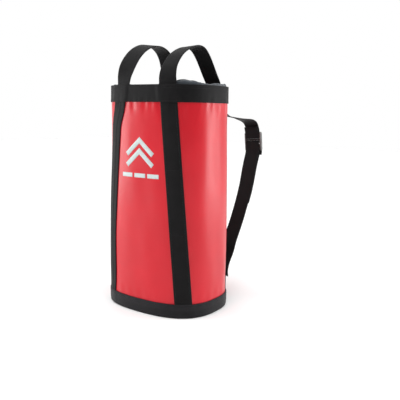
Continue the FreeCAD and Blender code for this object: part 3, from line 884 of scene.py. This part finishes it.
# places as shares of the way round from the front middle towards +X, reach and rise in metres
COLLAR_SWELLS = ((0.123, 0.021, 0.0080), (0.165, 0.014, 0.0030), (0.205, 0.012, 0.0012),
                 (0.245, 0.010, 0.0018), (0.36, 0.05, 0.004), (0.50, 0.06, 0.0045), (0.66, 0.05, 0.005),
                 (0.80, 0.03, 0.0010),
                 (0.43, 0.036, -0.0085), (0.02, 0.075, -0.0055), (0.88, 0.05, -0.0035))


def make_collar():
    """The gathered nylon collar: sewn inside the rim, rolled up over it and tucked down inside."""
    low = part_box("collar")[0][2]
    profile = [(-0.0032, RIM - 0.016), (-0.0034, RIM - 0.008), (-0.0036, RIM - 0.002),
               (-0.0042, RIM + 0.0012), (-0.0056, RIM + 0.0030), (-0.0080, RIM + 0.0036),
               (-0.0104, RIM + 0.0028), (-0.0128, RIM + 0.000), (-0.0144, RIM - 0.005),
               (-0.0152, RIM - 0.012), (-0.0156, RIM - 0.022), (-0.0154, RIM - 0.036),
               (-0.0150, RIM - 0.050), (-0.0144, RIM - 0.064), (-0.0140, RIM - 0.076),
               (-0.0136, low + 0.006), (-0.0134, low)]
    route, places = smooth_route([(out, 0.0, z) for out, z in profile], 0.0020)
    outs, heights = route[:, 0], route[:, 2]
    thick = 0.0005
    direction = np.gradient(route[:, [0, 2]], axis=0)
    direction /= np.linalg.norm(direction, axis=1, keepdims=True)
    side_out, side_up = direction[:, 1], -direction[:, 0]
    skin = list(zip(outs, heights, places, side_out, side_up))
    section = [(o + thick * a / 2, z + thick * b / 2, v) for o, z, v, a, b in skin]
    section += [(o - thick * a / 2, z - thick * b / 2, v) for o, z, v, a, b in skin[::-1]]
    down = np.array([v for _, _, v in section])
    free = smooth(down, 0.012, 0.032)
    crest = np.exp(-((down - 0.0245) / 0.0105) ** 2)

    def lift(s, z, out):
        lumps = collar_lumps(s, 0 * s)
        folds = collar_folds(s, z)
        creases = collar_creases(s, z)
        up = crest * (collar_rise(s) + 0.0011 * lumps + 0.0005 * folds + 0.00015 * creases)
        sideways = free * (0.0017 * folds + 0.0007 * creases + 0.0010 * lumps - 0.0012)
        return sideways, up

    piece = wall_ring("collar_cloth", section, GREY, columns=760, lift=lift, soft=False)
    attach(piece, "bag")
    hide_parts("collar")


def make_eyelets():
    """Two plated eyelets in the collar's hem, for a drawcord."""
    low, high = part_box("collar_eyelets")
    radius = (high[2] - low[2]) / 2
    profile = [(0.50, 0.0), (0.56, 0.55), (0.70, 1.0), (0.86, 0.85), (1.0, 0.15), (1.0, -0.15), (0.75, -0.3),
               (0.50, -0.3)]
    points, faces = [], []
    for x in (low[0] + radius, high[0] - radius):
        base = len(points)
        count = 40
        for turn in range(count):
            angle = 2 * math.pi * turn / count
            for reach, rise in profile:
                points.append((x + radius * reach * math.cos(angle), high[1] + 0.0009 * rise - 0.0004,
                               (low[2] + high[2]) / 2 + radius * reach * math.sin(angle)))
        faces += [tuple(base + corner for corner in quad) for quad in tube_faces(count, len(profile), True)]
    piece = new_mesh("collar_eyelet_rings", points, faces, None, METAL)
    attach(piece, "bag")
    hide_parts("collar_eyelets")


# ------------------------------------------------------------------ printed mark
def make_print():
    """A generic pale print on the front: two bent strokes over three short bars."""
    def stroke(corners, width):
        corners = np.array(corners)
        ways = np.diff(corners, axis=0)
        ways /= np.linalg.norm(ways, axis=1)[:, None]
        sides = np.stack([-ways[:, 1], ways[:, 0]], axis=1)
        mitres = [sides[0]]
        for before, after in zip(sides[:-1], sides[1:]):
            mitres.append((before + after) / ((before + after) @ before))
        mitres.append(sides[-1])
        rows = []
        for number in range(len(ways)):
            for t in np.linspace(0, 1, 16)[min(number, 1):]:
                middle = corners[number] * (1 - t) + corners[number + 1] * t
                side = (mitres[number] * (1 - t) + mitres[number + 1] * t) * width / 2
                rows.append([middle - side, middle - side * 0.33, middle + side * 0.33, middle + side])
        return rows

    middle_x, low_z = -0.001, 0.306
    strokes = []
    for lift in (0.0, 0.024):
        foot = low_z + 0.030 + lift
        peak = (middle_x, foot + 0.032)
        strokes.append(stroke([(middle_x - 0.036, foot), peak, (middle_x + 0.036, foot)], 0.0105))
    for start, end in ((-0.050, -0.020), (-0.014, 0.016), (0.022, 0.052)):
        strokes.append(stroke([(middle_x + start, low_z + 0.008), (middle_x + end, low_z + 0.008)], 0.0095))
    points, faces = [], []
    for rows in strokes:
        base = len(points)
        for row in rows:
            for x, z in row:
                points.append(wall(front_arc(x, z), z, 0.00012))
            for x, z in row[::-1]:
                points.append(wall(front_arc(x, z), z, 0.00003))
        faces += [tuple(base + corner for corner in quad) for quad in tube_faces(len(rows), 8, False)]
    piece = new_mesh("front_print", points, faces, None, PRINT)
    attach(piece, "bag")


# ------------------------------------------------------------------ room, light and camera
CAMERA_BEARING = math.radians(37.9)
CAMERA_DISTANCE = 1.3217
CAMERA_HEIGHT = 0.4565
CAMERA_PITCH = math.radians(9.0)
CAMERA_PAN = math.radians(-3.25)
CAMERA_ROLL = math.radians(0.87)
CAMERA_LENS = 50.42
WORLD_DIM = 0.22
WORLD_BRIGHT = 1.0


def area_light(name, place, target, size, power, colour=(1, 1, 1)):
    light = bpy.data.lights.new(name, "AREA")
    light.shape = "RECTANGLE"
    light.size, light.size_y = size
    light.energy = power
    light.color = colour
    lamp = bpy.data.objects.new(name, light)
    lamp.location = place
    way = np.array(target) - np.array(place)
    pan = math.atan2(way[0], -way[1])
    tilt = math.atan2(math.hypot(way[0], way[1]), -way[2])
    lamp.rotation_euler = (tilt, 0, pan + math.pi)
    bpy.context.scene.collection.objects.link(lamp)


def make_room():
    reach, level = 6.0, -0.0004
    points = [(x * reach, y * reach, level) for x, y in ((-1, -1), (1, -1), (1, 1), (-1, 1))]
    floor = new_mesh("floor", points, [(0, 1, 2, 3)], None, floor_material())
    world = bpy.data.worlds.new("studio")
    bpy.context.scene.world = world
    world.use_nodes = True
    nodes, links = world.node_tree.nodes, world.node_tree.links
    backdrop = Matrix.Rotation(CAMERA_BEARING, 3, "Z").col[1]
    place = nodes.new("ShaderNodeTexCoord")
    facing = nodes.new("ShaderNodeVectorMath")
    facing.operation = "DOT_PRODUCT"
    facing.inputs[1].default_value = backdrop
    links.new(place.outputs["Generated"], facing.inputs[0])
    fade = nodes.new("ShaderNodeMapRange")
    fade.interpolation_type = "SMOOTHSTEP"
    for socket, value in (("From Min", 0.35), ("From Max", 0.88),
                          ("To Min", WORLD_DIM), ("To Max", WORLD_BRIGHT)):
        fade.inputs[socket].default_value = value
    links.new(facing.outputs["Value"], fade.inputs["Value"])
    background = nodes["Background"]
    background.inputs[0].default_value = (1.0, 1.0, 1.0, 1)
    links.new(fade.outputs[0], background.inputs[1])
    area_light("left_softbox", (-1.78, -1.08, 0.65), (0, 0, 0.32), (0.95, 1.5), 26)
    area_light("right_softbox", (1.50, 1.30, 0.65), (0, 0, 0.32), (0.95, 1.5), 25)
    sun = bpy.data.lights.new("ceiling", "SUN")
    sun.energy = 2.7
    sun.angle = math.radians(60)
    lamp = bpy.data.objects.new("ceiling", sun)
    lamp.rotation_euler = (math.radians(12), 0, math.radians(20))
    bpy.context.scene.collection.objects.link(lamp)


def make_camera():
    camera = bpy.data.cameras.new("camera")
    camera.lens = CAMERA_LENS
    camera.sensor_width = 36.0
    holder = bpy.data.objects.new("camera", camera)
    turn = (Matrix.Rotation(CAMERA_BEARING + CAMERA_PAN, 4, "Z")
            @ Matrix.Rotation(math.pi / 2 - CAMERA_PITCH, 4, "X") @ Matrix.Rotation(CAMERA_ROLL, 4, "Z"))
    place = Matrix.Translation((CAMERA_DISTANCE * math.sin(CAMERA_BEARING),
                                -CAMERA_DISTANCE * math.cos(CAMERA_BEARING), CAMERA_HEIGHT))
    holder.matrix_world = place @ turn
    bpy.context.scene.collection.objects.link(holder)
    bpy.context.scene.camera = holder


bpy.context.scene.view_settings.view_transform = "Standard"
make_camera()
make_room()
make_tube()
make_seam_tape()
make_rim_band()
make_base()
make_body_straps()
for handle_side, _ in SIDES:
    make_handle(handle_side)
for strap_side, strap_sign in SIDES:
    make_shoulder_strap(strap_side, strap_sign)
make_collar()
make_eyelets()
make_print()
